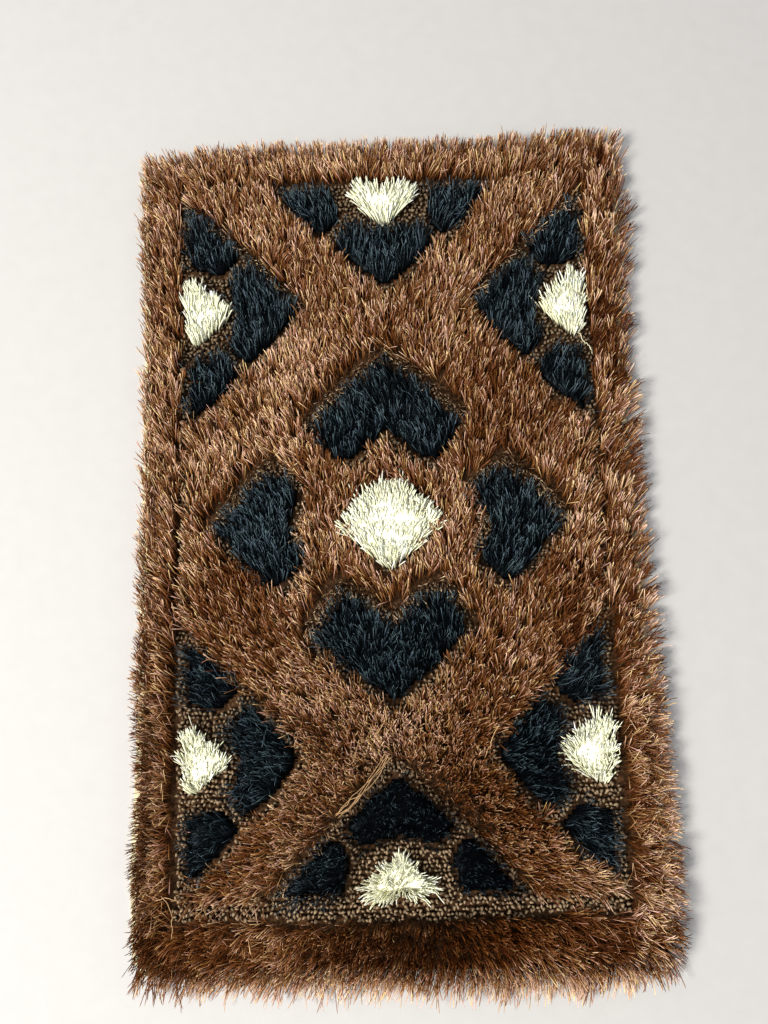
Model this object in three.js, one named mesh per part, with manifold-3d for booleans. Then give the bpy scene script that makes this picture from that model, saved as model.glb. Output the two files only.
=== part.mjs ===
// Shaggy doormat, about 50 by 80 cm: a backing cloth, a brown shag pile with low looped channels
// sunk in it, and patches of black and ivory shag set into those channels as hearts and diamonds.
// Millimetres, +Z up, +X to the right and +Y to the far end.
// The origin is on the floor under the middle of the whole mat.

import * as THREE from 'three';
import { mergeVertices } from 'three/addons/utils/BufferGeometryUtils.js';
import Module from 'manifold-3d';

const wasm = await Module();
wasm.setup();

// Heights above the floor
const CLOTH_TOP = 2.5;
const PART_GAP = 0.3;
const PILE_BOTTOM = CLOTH_TOP + PART_GAP;
const LOOP_TOP = 7;
const PATCH_BOTTOM = LOOP_TOP + PART_GAP;
const BORDER_TOP = 24;
const FIELD_TOP = 21.5;
const BLACK_TOP = 18;
const IVORY_TOP = 23;
const CUTTER_TOP = 40;

// How far the pile tips reach, left and right, along the mat
const SIDE_REACH = [
  { y: -400, left: -259, right: 254 },
  { y: -300, left: -257, right: 252 },
  { y: -200, left: -253, right: 249 },
  { y: -100, left: -248, right: 247 },
  { y: 0, left: -247, right: 245 },
  { y: 100, left: -247, right: 243 },
  { y: 200, left: -246, right: 244 },
  { y: 300, left: -251, right: 251 },
  { y: 390, left: -251, right: 253 },
];

// How far the pile tips reach at the near and far ends, across the mat
const END_REACH = [
  { x: -240, near: -415, far: 397 },
  { x: -150, near: -421, far: 401 },
  { x: -50, near: -424, far: 403 },
  { x: 50, near: -426, far: 403 },
  { x: 150, near: -426, far: 407 },
  { x: 240, near: -419, far: 409 },
];

// The middle of the whole mat, which the origin is moved to
const MIDDLE = { x: -2.6, y: -9.1 };

// How far the dense pile and the cloth stop short of the tips
const PILE_TUCK = { left: 6, right: 10, near: 23, far: 10 };
const CLOTH_TUCK = { left: 1.5, right: 14, near: 30, far: 15 };
const CORNER_RADIUS = 16;

// Edges of the panel, where the looped channel runs round it
const PANEL = { left: -203, right: 193, near: -335, far: 351 };
const CHANNEL_WIDTH = 9;
const PATCH_MARGIN = 8;
const DIAMOND_MARGIN = 3;
const BANK_SLOPE = 0.35;

// Height of the pile's back, by distance from its rim
const RIM_PROFILE = [
  { inset: 0, rise: 0.3 },
  { inset: 5, rise: 0.72 },
  { inset: 15, rise: 0.96 },
  { inset: 30, rise: 1 },
];
const GRID_STEP = 23;
const LUMP_HEIGHT = 2.6;
const RIM_LUMP = 1.6;

// Hearts in a frame of their own: "out" runs to the apex and "side" across
const LONG_HEART = {
  apex: 166, shoulderSide: 73, shoulderOut: 100, lobeSide: 47, lobeOut: 62, notch: 94,
};
const WIDE_HEART = {
  apex: 165, shoulderSide: 58, shoulderOut: 112, lobeSide: 33, lobeOut: 82, notch: 97,
};
const EDGE_HEART = {
  apex: 110, shoulderSide: 53, shoulderOut: 62, lobeSide: 31, lobeOut: 41, notch: 50,
};

// How a heart rounds off on both sides of its lobe and bulges along its flank, as shares
const HEART_ROUNDING = {
  innerSide: 0.62, innerOut: 0.18, outerSide: 0.55, outerOut: 0.42, flankSide: 0.56, flankOut: 0.52,
};

// Where the middle of each patch's top lies, as shares of its figure
const HEART_CENTRE = 0.42;
const HALF_HEART_CENTRE = { side: 1.05, out: 0.36 };
const HALF_DIAMOND_CENTRE = 0.4;

// Straight-sided figures: half widths, and how far they run out from their base lines
const DIAMOND = { halfWidth: 44, base: 0, tip: 42 };
const HALF_DIAMOND = { halfWidth: 31, base: 3, tip: 43 };
const EDGE_CELL = { halfWidth: 125, base: -3, tip: 124 };

// Their right-hand corners, as shares of the half width and of the run from base to tip
const DIAMOND_CORNERS = [
  { side: 0, out: -1 },
  { side: 0.55, out: -0.5 },
  { side: 1, out: 0 },
  { side: 0.62, out: 0.48 },
  { side: 0.2, out: 0.9 },
];
const HALF_DIAMOND_CORNERS = [
  { side: 0.85, out: 0 },
  { side: 1, out: 0.22 },
  { side: 0.6, out: 0.6 },
  { side: 0.12, out: 1 },
];
const CELL_CORNERS = [
  { side: 1, out: 0 },
  { side: 0.5, out: 0.52 },
  { side: 0.06, out: 0.96 },
];
const CENTRE_FIGURE = { x: -6, y: 0 };

// The four hearts round the middle, by the direction that each apex points
const CENTRE_HEARTS = [
  { name: 'far', heart: LONG_HEART, turn: 0 },
  { name: 'left', heart: WIDE_HEART, turn: 90 },
  { name: 'near', heart: LONG_HEART, turn: 180 },
  { name: 'right', heart: WIDE_HEART, turn: 270 },
];

// The six half figures, with the middle of each base on the panel's edge
const EDGE_FIGURES = [
  { name: 'far', x: -5, y: PANEL.far, turn: 180 },
  { name: 'left_far', x: PANEL.left, y: 216, turn: 270 },
  { name: 'left_near', x: PANEL.left, y: -212, turn: 270 },
  { name: 'near', x: -5, y: PANEL.near, turn: 0 },
  { name: 'right_near', x: PANEL.right, y: -212, turn: 90 },
  { name: 'right_far', x: PANEL.right, y: 216, turn: 90 },
];

// Patches lean the way that the pile was combed
const PATCH_LEAN = { x: 0, y: 3 };
const PATCH_RINGS = [
  { grow: 0, scale: 1, rise: 0 },
  { grow: 0.9, scale: 1, rise: 0.62 },
  { grow: 0, scale: 0.8, rise: 0.94 },
  { grow: 0, scale: 0.4, rise: 1 },
];
const OUTLINE_WANDER = 1.3;
const PATCH_LUMP = 1.3;

// Locks at the rim: tips rest near the floor, and those of the near end lie out on it
const RIM_LOCK_STEP = 11.5;
const RIM_LOCK = { inset: 6, rootWidth: 6, middleWidth: 4.4, rootHeight: 10, uneven: 2.5, wander: 0.8 };
const RIM_LOCK_BEND = {
  side: { middleShare: 0.35, middleHeight: 10.5, tipHeight: 4 },
  near: { middleShare: 0.4, middleHeight: 3.2, tipHeight: 0.8 },
};
const LOCK_SPLAY = 0.45;

// A lock's three-sided section, as shares of its width
const LOCK_SECTION = { halfWidth: 0.5, rise: 0.4, drop: 0.25 };

// Loose locks of an ivory patch, fanned from its right round the far side to its left
const IVORY_LOCKS = 8;
const IVORY_FAN = { first: -15, last: 195, uneven: 0.2 };
const IVORY_LOCK = {
  start: 0.4, reach: 1.3, uneven: 0.2, rootWidth: 4, middleWidth: 3.2, rootHeight: 19, tipHeight: 26,
};

const RADIANS = Math.PI / 180;

// A repeatable source of numbers from 0 to 1
function seededRandom(seed) {
  let state = seed;
  return () => {
    state = (state * 1664525 + 1013904223) % 4294967296;
    return state / 4294967296;
  };
}

// A repeatable number between -size and size
function wander(random, size) {
  return (random() * 2 - 1) * size;
}

// Reads a column of a table between its rows
function tableValue(rows, key, column, at) {
  const last = rows.length - 1;
  const inside = THREE.MathUtils.clamp(at, rows[0][key], rows[last][key]);
  let i = 0;
  while (i < last - 1 && inside > rows[i + 1][key]) i += 1;
  const share = (inside - rows[i][key]) / (rows[i + 1][key] - rows[i][key]);
  return THREE.MathUtils.lerp(rows[i][column], rows[i + 1][column], share);
}

// The four edges of a layer that stops short of the tips by tuck
function layerEdges(tuck) {
  return {
    left: (y) => tableValue(SIDE_REACH, 'y', 'left', y) + tuck.left,
    right: (y) => tableValue(SIDE_REACH, 'y', 'right', y) - tuck.right,
    near: (x) => tableValue(END_REACH, 'x', 'near', x) + tuck.near,
    far: (x) => tableValue(END_REACH, 'x', 'far', x) - tuck.far,
  };
}

// A place in a layer, from its shares across and along, with its corners rounded
function placeInLayer(edges, across, along) {
  const nominalX = THREE.MathUtils.lerp(edges.left(0), edges.right(0), across);
  const nominalY = THREE.MathUtils.lerp(edges.near(0), edges.far(0), along);
  const left = edges.left(nominalY);
  const right = edges.right(nominalY);
  const near = edges.near(nominalX);
  const far = edges.far(nominalX);
  const x = THREE.MathUtils.lerp(left, right, across);
  const y = THREE.MathUtils.lerp(near, far, along);
  const sideX = across < 0.5 ? -1 : 1;
  const sideY = along < 0.5 ? -1 : 1;
  const edgeX = across < 0.5 ? left : right;
  const edgeY = along < 0.5 ? near : far;
  const towardX = 1 - Math.abs(edgeX - x) / CORNER_RADIUS;
  const towardY = 1 - Math.abs(edgeY - y) / CORNER_RADIUS;
  if (towardX <= 0 || towardY <= 0) return new THREE.Vector2(x, y);
  const roundX = towardX * Math.sqrt(1 - (towardY * towardY) / 2);
  const roundY = towardY * Math.sqrt(1 - (towardX * towardX) / 2);
  return new THREE.Vector2(
    edgeX - sideX * CORNER_RADIUS * (1 - roundX),
    edgeY - sideY * CORNER_RADIUS * (1 - roundY),
  );
}

// Distances across a layer: close together at both rims and GRID_STEP apart between them
function gridDistances(size) {
  const rim = RIM_PROFILE.map((row) => row.inset);
  const innerStart = rim[rim.length - 1];
  const innerSize = size - 2 * innerStart;
  const steps = Math.round(innerSize / GRID_STEP);
  const distances = [...rim];
  for (let i = 1; i < steps; i += 1) distances.push(innerStart + (innerSize * i) / steps);
  for (const inset of rim.reverse()) distances.push(size - inset);
  return distances;
}

// A BufferGeometry from a list of points and a list of corner numbers
function indexedGeometry(points, corners) {
  const geometry = new THREE.BufferGeometry();
  geometry.setAttribute('position', new THREE.Float32BufferAttribute(points.flat(), 3));
  geometry.setIndex(corners);
  return geometry;
}

function toManifold(geometry) {
  const bare = geometry.clone();
  bare.deleteAttribute('normal');
  bare.deleteAttribute('uv');
  const merged = mergeVertices(bare, 1e-4);
  return new wasm.Manifold(new wasm.Mesh({
    numProp: 3,
    vertProperties: new Float32Array(merged.attributes.position.array),
    triVerts: new Uint32Array(merged.index.array),
  }));
}

function fromManifold(solid) {
  const mesh = solid.getMesh();
  const geometry = new THREE.BufferGeometry();
  geometry.setAttribute('position', new THREE.BufferAttribute(new Float32Array(mesh.vertProperties), 3));
  geometry.setIndex(new THREE.BufferAttribute(new Uint32Array(mesh.triVerts), 1));
  return geometry;
}

// Corners of the sides between rings of equally many points, each ring a turn round the body
function ringSides(ringCount, size) {
  const corners = [];
  for (let ring = 0; ring < ringCount - 1; ring += 1) {
    for (let i = 0; i < size; i += 1) {
      const next = (i + 1) % size;
      const a = ring * size + i;
      const b = ring * size + next;
      corners.push(a, b, b + size, a, b + size, a + size);
    }
  }
  return corners;
}

// Corners of a flat cap over one outline, facing down or up
function flatCap(outline, first, facesUp) {
  const corners = [];
  for (const [a, b, c] of THREE.ShapeUtils.triangulateShape(outline, [])) {
    if (facesUp) corners.push(first + a, first + b, first + c);
    else corners.push(first + a, first + c, first + b);
  }
  return corners;
}

// A body with a flat bottom and top and straight sides between two outlines
function prism(bottomOutline, bottom, topOutline, top) {
  const points = [
    ...bottomOutline.map((p) => [p.x, p.y, bottom]),
    ...topOutline.map((p) => [p.x, p.y, top]),
  ];
  const size = bottomOutline.length;
  return indexedGeometry(points, [
    ...ringSides(2, size),
    ...flatCap(bottomOutline, 0, false),
    ...flatCap(topOutline, size, true),
  ]);
}

// Moves each side of an outline outwards by a margin, keeping its corners
function grown(outline, margin) {
  return outline.map((p, i) => {
    const before = outline[(i + outline.length - 1) % outline.length];
    const after = outline[(i + 1) % outline.length];
    const u = p.clone().sub(before).normalize();
    const v = after.clone().sub(p).normalize();
    const normal = new THREE.Vector2(u.y + v.y, -u.x - v.x).normalize();
    const reach = margin / Math.max(0.6, normal.x * u.y - normal.y * u.x);
    return p.clone().addScaledVector(normal, reach);
  });
}

// Turns and moves an outline from a figure's own frame, where +Y is out, to the mat's
function placed(outline, turn, at) {
  const origin = new THREE.Vector2(0, 0);
  return outline.map((p) => p.clone().rotateAround(origin, turn * RADIANS).add(at));
}

// The right half of a heart, from its notch round the lobe to its apex
function halfHeart(heart) {
  const { lerp } = THREE.MathUtils;
  const { innerSide, innerOut, outerSide, outerOut, flankSide, flankOut } = HEART_ROUNDING;
  const { lobeSide, lobeOut, shoulderSide, shoulderOut, apex, notch } = heart;
  return [
    new THREE.Vector2(0, notch),
    new THREE.Vector2(lobeSide * innerSide, lerp(lobeOut, shoulderOut, innerOut)),
    new THREE.Vector2(lobeSide, lobeOut),
    new THREE.Vector2(lerp(lobeSide, shoulderSide, outerSide), lerp(lobeOut, shoulderOut, outerOut)),
    new THREE.Vector2(shoulderSide, shoulderOut),
    new THREE.Vector2(shoulderSide * flankSide, lerp(shoulderOut, apex, flankOut)),
    new THREE.Vector2(0, apex),
  ];
}

function mirrored(outline) {
  return outline.map((p) => new THREE.Vector2(-p.x, p.y)).reverse();
}

function heartOutline(heart) {
  const right = halfHeart(heart);
  return [...right, ...mirrored(right).slice(1, -1)];
}

// Half of a heart whose axis lies along the panel's edge, with its apex away from the figure's middle
function edgeHalfHeart(heart, side) {
  const outline = halfHeart(heart).map((p) => new THREE.Vector2(p.y, p.x + HALF_DIAMOND.base));
  const middle = outline[0].clone().lerp(outline[outline.length - 1], 0.5);
  const closed = [middle, ...outline.reverse()];
  return side > 0 ? closed : mirrored(closed);
}

// A straight-sided figure from its right-hand corners
function figureOutline(corners, figure) {
  const right = corners.map(({ side, out }) => new THREE.Vector2(
    side * figure.halfWidth,
    THREE.MathUtils.lerp(figure.base, figure.tip, out),
  ));
  return [...right, ...mirrored(right.filter((p) => p.x > 0))];
}

function heartMiddle(heart) {
  return new THREE.Vector2(0, THREE.MathUtils.lerp(heart.notch, heart.apex, HEART_CENTRE));
}

// Every patch of coloured shag: its name, yarn, outline, middle and how far its pocket is cleared.
// Those of the half figures share one pocket for each figure.
function patchTable() {
  const patches = [];
  const centre = new THREE.Vector2(CENTRE_FIGURE.x, CENTRE_FIGURE.y);
  for (const { name, heart, turn } of CENTRE_HEARTS) {
    patches.push({
      name: `black_heart_${name}`,
      yarn: 'black',
      outline: placed(heartOutline(heart), turn, centre),
      middle: placed([heartMiddle(heart)], turn, centre)[0],
      margin: PATCH_MARGIN,
    });
  }
  patches.push({
    name: 'ivory_diamond',
    yarn: 'ivory',
    outline: placed(figureOutline(DIAMOND_CORNERS, DIAMOND), 0, centre),
    middle: centre,
    margin: DIAMOND_MARGIN,
  });
  for (const { name, x, y, turn } of EDGE_FIGURES) {
    const at = new THREE.Vector2(x, y);
    patches.push({
      name: `black_edge_heart_${name}`,
      yarn: 'black',
      outline: placed(heartOutline(EDGE_HEART), turn, at),
      middle: placed([heartMiddle(EDGE_HEART)], turn, at)[0],
    });
    for (const side of [-1, 1]) {
      const middle = new THREE.Vector2(
        side * EDGE_HEART.shoulderOut * HALF_HEART_CENTRE.side,
        EDGE_HEART.shoulderSide * HALF_HEART_CENTRE.out,
      );
      patches.push({
        name: `black_half_heart_${name}_${side < 0 ? 'a' : 'b'}`,
        yarn: 'black',
        outline: placed(edgeHalfHeart(EDGE_HEART, side), turn, at),
        middle: placed([middle], turn, at)[0],
      });
    }
    const middle = new THREE.Vector2(0, HALF_DIAMOND.tip * HALF_DIAMOND_CENTRE);
    patches.push({
      name: `ivory_half_diamond_${name}`,
      yarn: 'ivory',
      outline: placed(figureOutline(HALF_DIAMOND_CORNERS, HALF_DIAMOND), turn, at),
      middle: placed([middle], turn, at)[0],
    });
  }
  return patches;
}

// The backing cloth: one flat sheet
function clothGeometry() {
  const edges = layerEdges(CLOTH_TUCK);
  const steps = 10;
  const outline = [];
  const sides = [
    (share) => [share, 0],
    (share) => [1, share],
    (share) => [1 - share, 1],
    (share) => [0, 1 - share],
  ];
  for (const side of sides) {
    for (let i = 0; i < steps; i += 1) {
      const [across, along] = side(i / steps);
      outline.push(placeInLayer(edges, across, along));
    }
  }
  return prism(outline, 0, outline, CLOTH_TOP);
}

// Height of the brown pile's back, before its lumps
function pileHeight(place, inset) {
  const inPanel = place.x > PANEL.left && place.x < PANEL.right && place.y > PANEL.near && place.y < PANEL.far;
  const top = inPanel ? FIELD_TOP : BORDER_TOP;
  const rise = tableValue(RIM_PROFILE, 'inset', 'rise', inset);
  return THREE.MathUtils.lerp(PILE_BOTTOM, top, rise);
}

// The brown pile's body: a lumpy blanket with a flat underside and a rounded rim
function blanketGeometry() {
  const random = seededRandom(11);
  const edges = layerEdges(PILE_TUCK);
  const width = edges.right(0) - edges.left(0);
  const length = edges.far(0) - edges.near(0);
  const columns = gridDistances(width);
  const rows = gridDistances(length);
  const points = [];
  for (const along of rows) {
    for (const across of columns) {
      const place = placeInLayer(edges, across / width, along / length);
      const inset = Math.min(across, width - across, along, length - along);
      place.x += wander(random, RIM_LUMP);
      place.y += wander(random, RIM_LUMP);
      const rise = THREE.MathUtils.smoothstep(inset, 0, RIM_PROFILE[2].inset);
      points.push([place.x, place.y, pileHeight(place, inset) + wander(random, LUMP_HEIGHT) * rise]);
    }
  }
  const corners = [];
  for (let j = 0; j < rows.length - 1; j += 1) {
    for (let i = 0; i < columns.length - 1; i += 1) {
      const a = j * columns.length + i;
      const b = a + 1;
      const c = b + columns.length;
      const d = a + columns.length;
      corners.push(a, b, c, a, c, d);
    }
  }
  const rim = [];
  for (let i = 0; i < columns.length; i += 1) rim.push(i);
  for (let j = 1; j < rows.length; j += 1) rim.push(j * columns.length + columns.length - 1);
  for (let i = columns.length - 2; i >= 0; i -= 1) rim.push((rows.length - 1) * columns.length + i);
  for (let j = rows.length - 2; j > 0; j -= 1) rim.push(j * columns.length);
  const first = points.length;
  const underside = rim.map((a) => new THREE.Vector2(points[a][0], points[a][1]));
  underside.forEach((p, i) => {
    const next = (i + 1) % rim.length;
    points.push([p.x, p.y, PILE_BOTTOM]);
    corners.push(first + i, first + next, rim[next], first + i, rim[next], rim[i]);
  });
  corners.push(...flatCap(underside, first, false));
  return indexedGeometry(points, corners);
}

// A pocket that clears an outline down to the loops, with banks that open upwards
function pocket(outline, margin) {
  const flare = (CUTTER_TOP - LOOP_TOP) * BANK_SLOPE;
  return prism(grown(outline, margin), LOOP_TOP, grown(outline, margin + flare), CUTTER_TOP);
}

// The looped channel round the panel
function channelCutter() {
  const corners = [
    new THREE.Vector2(PANEL.left, PANEL.near),
    new THREE.Vector2(PANEL.right, PANEL.near),
    new THREE.Vector2(PANEL.right, PANEL.far),
    new THREE.Vector2(PANEL.left, PANEL.far),
  ];
  const flare = (CUTTER_TOP - LOOP_TOP) * BANK_SLOPE;
  const half = CHANNEL_WIDTH / 2;
  const overrun = 1;
  const extra = BANK_SLOPE * overrun;
  const outer = prism(grown(corners, half), LOOP_TOP, grown(corners, half + flare), CUTTER_TOP);
  const inner = prism(
    grown(corners, extra - half),
    LOOP_TOP - overrun,
    grown(corners, -half - flare - extra),
    CUTTER_TOP + overrun,
  );
  return toManifold(outer).subtract(toManifold(inner));
}

// A lock of yarn: three-sided, bent once and drawn to a point
function lockGeometry(root, middle, tip, rootWidth, middleWidth) {
  const along = new THREE.Vector3().subVectors(tip, root).setZ(0).normalize();
  const across = new THREE.Vector3(-along.y, along.x, 0);
  const { halfWidth, rise, drop } = LOCK_SECTION;
  const ring = (at, width) => [
    [at.x + across.x * width * halfWidth, at.y + across.y * width * halfWidth, at.z - width * drop],
    [at.x, at.y, at.z + width * rise],
    [at.x - across.x * width * halfWidth, at.y - across.y * width * halfWidth, at.z - width * drop],
  ];
  const points = [...ring(root, rootWidth), ...ring(middle, middleWidth), [tip.x, tip.y, tip.z]];
  return indexedGeometry(points, [...ringSides(2, 3), 0, 2, 1, 3, 4, 6, 4, 5, 6, 5, 3, 6]);
}

// The rim's locks: evenly spread round the pile, each with a reach and splay of its own
function rimLocks() {
  const random = seededRandom(29);
  const body = layerEdges(PILE_TUCK);
  const tips = layerEdges({ left: 0, right: 0, near: 0, far: 0 });
  const width = body.right(0) - body.left(0);
  const length = body.far(0) - body.near(0);
  const sides = [
    { size: width, at: (s) => [s, 0], bend: RIM_LOCK_BEND.near },
    { size: length, at: (s) => [1, s], bend: RIM_LOCK_BEND.side },
    { size: width, at: (s) => [1 - s, 1], bend: RIM_LOCK_BEND.side },
    { size: length, at: (s) => [0, 1 - s], bend: RIM_LOCK_BEND.side },
  ];
  const locks = [];
  for (const { size, at, bend } of sides) {
    const count = Math.round(size / RIM_LOCK_STEP);
    for (let i = 0; i < count; i += 1) {
      const share = (i + 0.5) / count;
      const [across, along] = at(share);
      const [tipAcross, tipAlong] = at(share + wander(random, LOCK_SPLAY) / count);
      const edge = placeInLayer(body, across, along);
      const reached = placeInLayer(tips, tipAcross, tipAlong);
      const out = reached.clone().sub(edge).normalize();
      const reach = edge.distanceTo(reached) - random() * RIM_LOCK.uneven;
      const root = edge.clone().addScaledVector(out, -RIM_LOCK.inset);
      const middle = edge.clone().addScaledVector(out, reach * bend.middleShare);
      const tip = edge.clone().addScaledVector(out, reach);
      locks.push(lockGeometry(
        new THREE.Vector3(root.x, root.y, RIM_LOCK.rootHeight),
        new THREE.Vector3(middle.x, middle.y, bend.middleHeight + wander(random, RIM_LOCK.wander)),
        new THREE.Vector3(tip.x, tip.y, bend.tipHeight + random()),
        RIM_LOCK.rootWidth,
        RIM_LOCK.middleWidth,
      ));
    }
  }
  return locks;
}

// The brown pile: blanket, less its pockets and channel, with the locks at its rim
function brownPileGeometry(patches) {
  let pile = toManifold(blanketGeometry()).subtract(channelCutter());
  for (const patch of patches.filter((p) => p.margin)) {
    pile = pile.subtract(toManifold(pocket(patch.outline, patch.margin)));
  }
  for (const { x, y, turn } of EDGE_FIGURES) {
    const outline = placed(figureOutline(CELL_CORNERS, EDGE_CELL), turn, new THREE.Vector2(x, y));
    pile = pile.subtract(toManifold(pocket(outline, 0)));
  }
  for (const lock of rimLocks()) pile = pile.add(toManifold(lock));
  return fromManifold(pile);
}

// A patch of shag: uneven outline, walls that swell a little and a lumpy leaning top
function patchGeometry(patch, random) {
  const top = patch.yarn === 'black' ? BLACK_TOP : IVORY_TOP;
  const uneven = patch.outline.map(
    (p) => new THREE.Vector2(p.x + wander(random, OUTLINE_WANDER), p.y + wander(random, OUTLINE_WANDER)),
  );
  const points = [];
  for (const { grow, scale, rise } of PATCH_RINGS) {
    for (const p of grown(uneven, grow)) {
      const x = THREE.MathUtils.lerp(patch.middle.x, p.x, scale) + PATCH_LEAN.x * rise;
      const y = THREE.MathUtils.lerp(patch.middle.y, p.y, scale) + PATCH_LEAN.y * rise;
      const lump = rise > 0.9 ? wander(random, PATCH_LUMP) : 0;
      points.push([x, y, THREE.MathUtils.lerp(PATCH_BOTTOM, top, rise) + lump]);
    }
  }
  const size = uneven.length;
  const crown = points.length;
  points.push([patch.middle.x + PATCH_LEAN.x, patch.middle.y + PATCH_LEAN.y, top]);
  const corners = [...ringSides(PATCH_RINGS.length, size), ...flatCap(uneven, 0, false)];
  const last = crown - size;
  for (let i = 0; i < size; i += 1) corners.push(last + i, last + ((i + 1) % size), crown);
  return indexedGeometry(points, corners);
}

// Distance from a place inside an outline to the outline, in one direction
function distanceToOutline(outline, from, direction) {
  let nearest = Infinity;
  outline.forEach((a, i) => {
    const b = outline[(i + 1) % outline.length];
    const edge = b.clone().sub(a);
    const toA = a.clone().sub(from);
    const across = direction.cross(edge);
    const distance = toA.cross(edge) / across;
    const share = toA.cross(direction) / across;
    if (distance > 0 && share >= 0 && share <= 1) nearest = Math.min(nearest, distance);
  });
  return nearest;
}

// An ivory patch also has loose locks that stand out from its top
function ivoryGeometry(patch, random) {
  let solid = toManifold(patchGeometry(patch, random));
  for (let i = 0; i < IVORY_LOCKS; i += 1) {
    const share = (i + wander(random, IVORY_FAN.uneven)) / (IVORY_LOCKS - 1);
    const angle = THREE.MathUtils.lerp(IVORY_FAN.first, IVORY_FAN.last, share) * RADIANS;
    const out = new THREE.Vector2(Math.cos(angle), Math.sin(angle));
    out.multiplyScalar(distanceToOutline(patch.outline, patch.middle, out));
    const at = (reach, height) => {
      const place = patch.middle.clone().addScaledVector(out, reach);
      return new THREE.Vector3(place.x + PATCH_LEAN.x, place.y + PATCH_LEAN.y, height);
    };
    const reach = IVORY_LOCK.reach - random() * IVORY_LOCK.uneven;
    const lock = lockGeometry(
      at(IVORY_LOCK.start, IVORY_LOCK.rootHeight),
      at((IVORY_LOCK.start + reach) / 2, (IVORY_LOCK.rootHeight + IVORY_LOCK.tipHeight) / 2),
      at(reach, IVORY_LOCK.tipHeight),
      IVORY_LOCK.rootWidth,
      IVORY_LOCK.middleWidth,
    );
    solid = solid.add(toManifold(lock));
  }
  return fromManifold(solid);
}

// A named mesh in its own yarn or cloth
function namedMesh(name, geometry, look) {
  const mesh = new THREE.Mesh(geometry, new THREE.MeshStandardMaterial(look));
  mesh.name = name;
  return mesh;
}

const CREAM_CLOTH = { color: 0xd9cfa3, roughness: 0.95, metalness: 0 };
const BROWN_YARN = { color: 0x86552f, roughness: 0.75, metalness: 0 };
const BLACK_YARN = { color: 0x12171f, roughness: 0.7, metalness: 0 };
const IVORY_YARN = { color: 0xf0efdc, roughness: 0.7, metalness: 0 };

const patches = patchTable();
const patchRandom = seededRandom(47);
const mat = new THREE.Group();
mat.add(namedMesh('backing_cloth', clothGeometry(), CREAM_CLOTH));
mat.add(namedMesh('brown_pile', brownPileGeometry(patches), BROWN_YARN));
for (const patch of patches) {
  if (patch.yarn === 'black') mat.add(namedMesh(patch.name, patchGeometry(patch, patchRandom), BLACK_YARN));
  else mat.add(namedMesh(patch.name, ivoryGeometry(patch, patchRandom), IVORY_YARN));
}
mat.position.set(-MIDDLE.x, -MIDDLE.y, 0);

export default mat;
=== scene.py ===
"""Shaggy doormat: every strand of its brown, black and ivory shag, its low loops and its backing cloth.

Metres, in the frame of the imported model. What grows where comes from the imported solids: a root over a black
or ivory solid grows that yarn, one over the low floor of the brown solid a loop, and the rest brown shag.
"""

import math

import bpy
import numpy as np
from mathutils import Matrix, Vector
from mathutils.bvhtree import BVHTree


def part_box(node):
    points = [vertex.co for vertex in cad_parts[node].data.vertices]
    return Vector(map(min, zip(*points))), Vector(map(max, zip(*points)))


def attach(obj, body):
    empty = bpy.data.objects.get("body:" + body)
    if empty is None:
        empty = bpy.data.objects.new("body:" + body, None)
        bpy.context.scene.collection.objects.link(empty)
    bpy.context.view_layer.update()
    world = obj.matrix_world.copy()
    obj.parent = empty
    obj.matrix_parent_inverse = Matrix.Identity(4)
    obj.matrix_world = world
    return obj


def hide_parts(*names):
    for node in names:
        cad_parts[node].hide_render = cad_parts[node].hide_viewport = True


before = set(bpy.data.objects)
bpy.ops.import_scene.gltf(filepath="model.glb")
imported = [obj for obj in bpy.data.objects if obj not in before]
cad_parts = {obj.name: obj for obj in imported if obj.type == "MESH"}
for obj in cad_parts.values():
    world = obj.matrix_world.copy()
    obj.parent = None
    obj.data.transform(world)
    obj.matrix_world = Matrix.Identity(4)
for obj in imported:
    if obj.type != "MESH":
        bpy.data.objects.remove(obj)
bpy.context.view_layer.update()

# Camera: a 27 mm lens on a 36 mm sensor, which looks almost straight down
LENS_MM = 27.04
SENSOR_MM = 36.0
CAMERA_PLACE = (-0.0063, -0.0788, 0.7385)
CAMERA_TURN = Vector((0.1424, 0.0055, -0.0283))

# The even light from all round
SKY_COLOUR = (0.93, 0.96, 1.0, 1.0)
SKY_STRENGTH = 0.62

# Heights of the layers. Brown ground lower than LOOP_FLOOR is a channel.
CLOTH_TOP = 0.0025
GROUND_TOP = 0.0034
ROOT_HEIGHT = 0.0030
FLOOR_CLEARANCE = 0.0006
LOOP_FLOOR = 0.0080

# How much smaller than the cloth the base, painted dark as shade, is on each side, across and along
BASE_INSET = np.array([0.0060, 0.0010])

# The map of zones: its step, how far it reaches past the cloth, and where its rays start. A cell holds the
# number of a patch or one of these three.
MAP_STEP = 0.001
MAP_MARGIN = 0.03
RAY_HEIGHT = 0.1
BROWN, CHANNEL, NOTHING = -1, -2, -3

# In steps of the map: half the width of brown strips too thin for shag, and the width of the near groove
THIN_STEPS = 3
NEAR_GROOVE_STEPS = 14

# The pile was combed away from one place near the near end, where it stands almost upright: how much it
# spreads sideways on the near and the far side of that place, and how far off it lies flattest. Then how the
# upright part leans, and how far a strand reaches that lies.
COMB_SOURCE = np.array([0.022, -0.291])
COMB_SPREAD_NEAR = 1.5
COMB_SPREAD_FAR = 0.85
COMB_REACH = 0.27
NAP_SHIFT = np.array([-0.03, 0.24])
PILE_REACH = 0.0255

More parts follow.
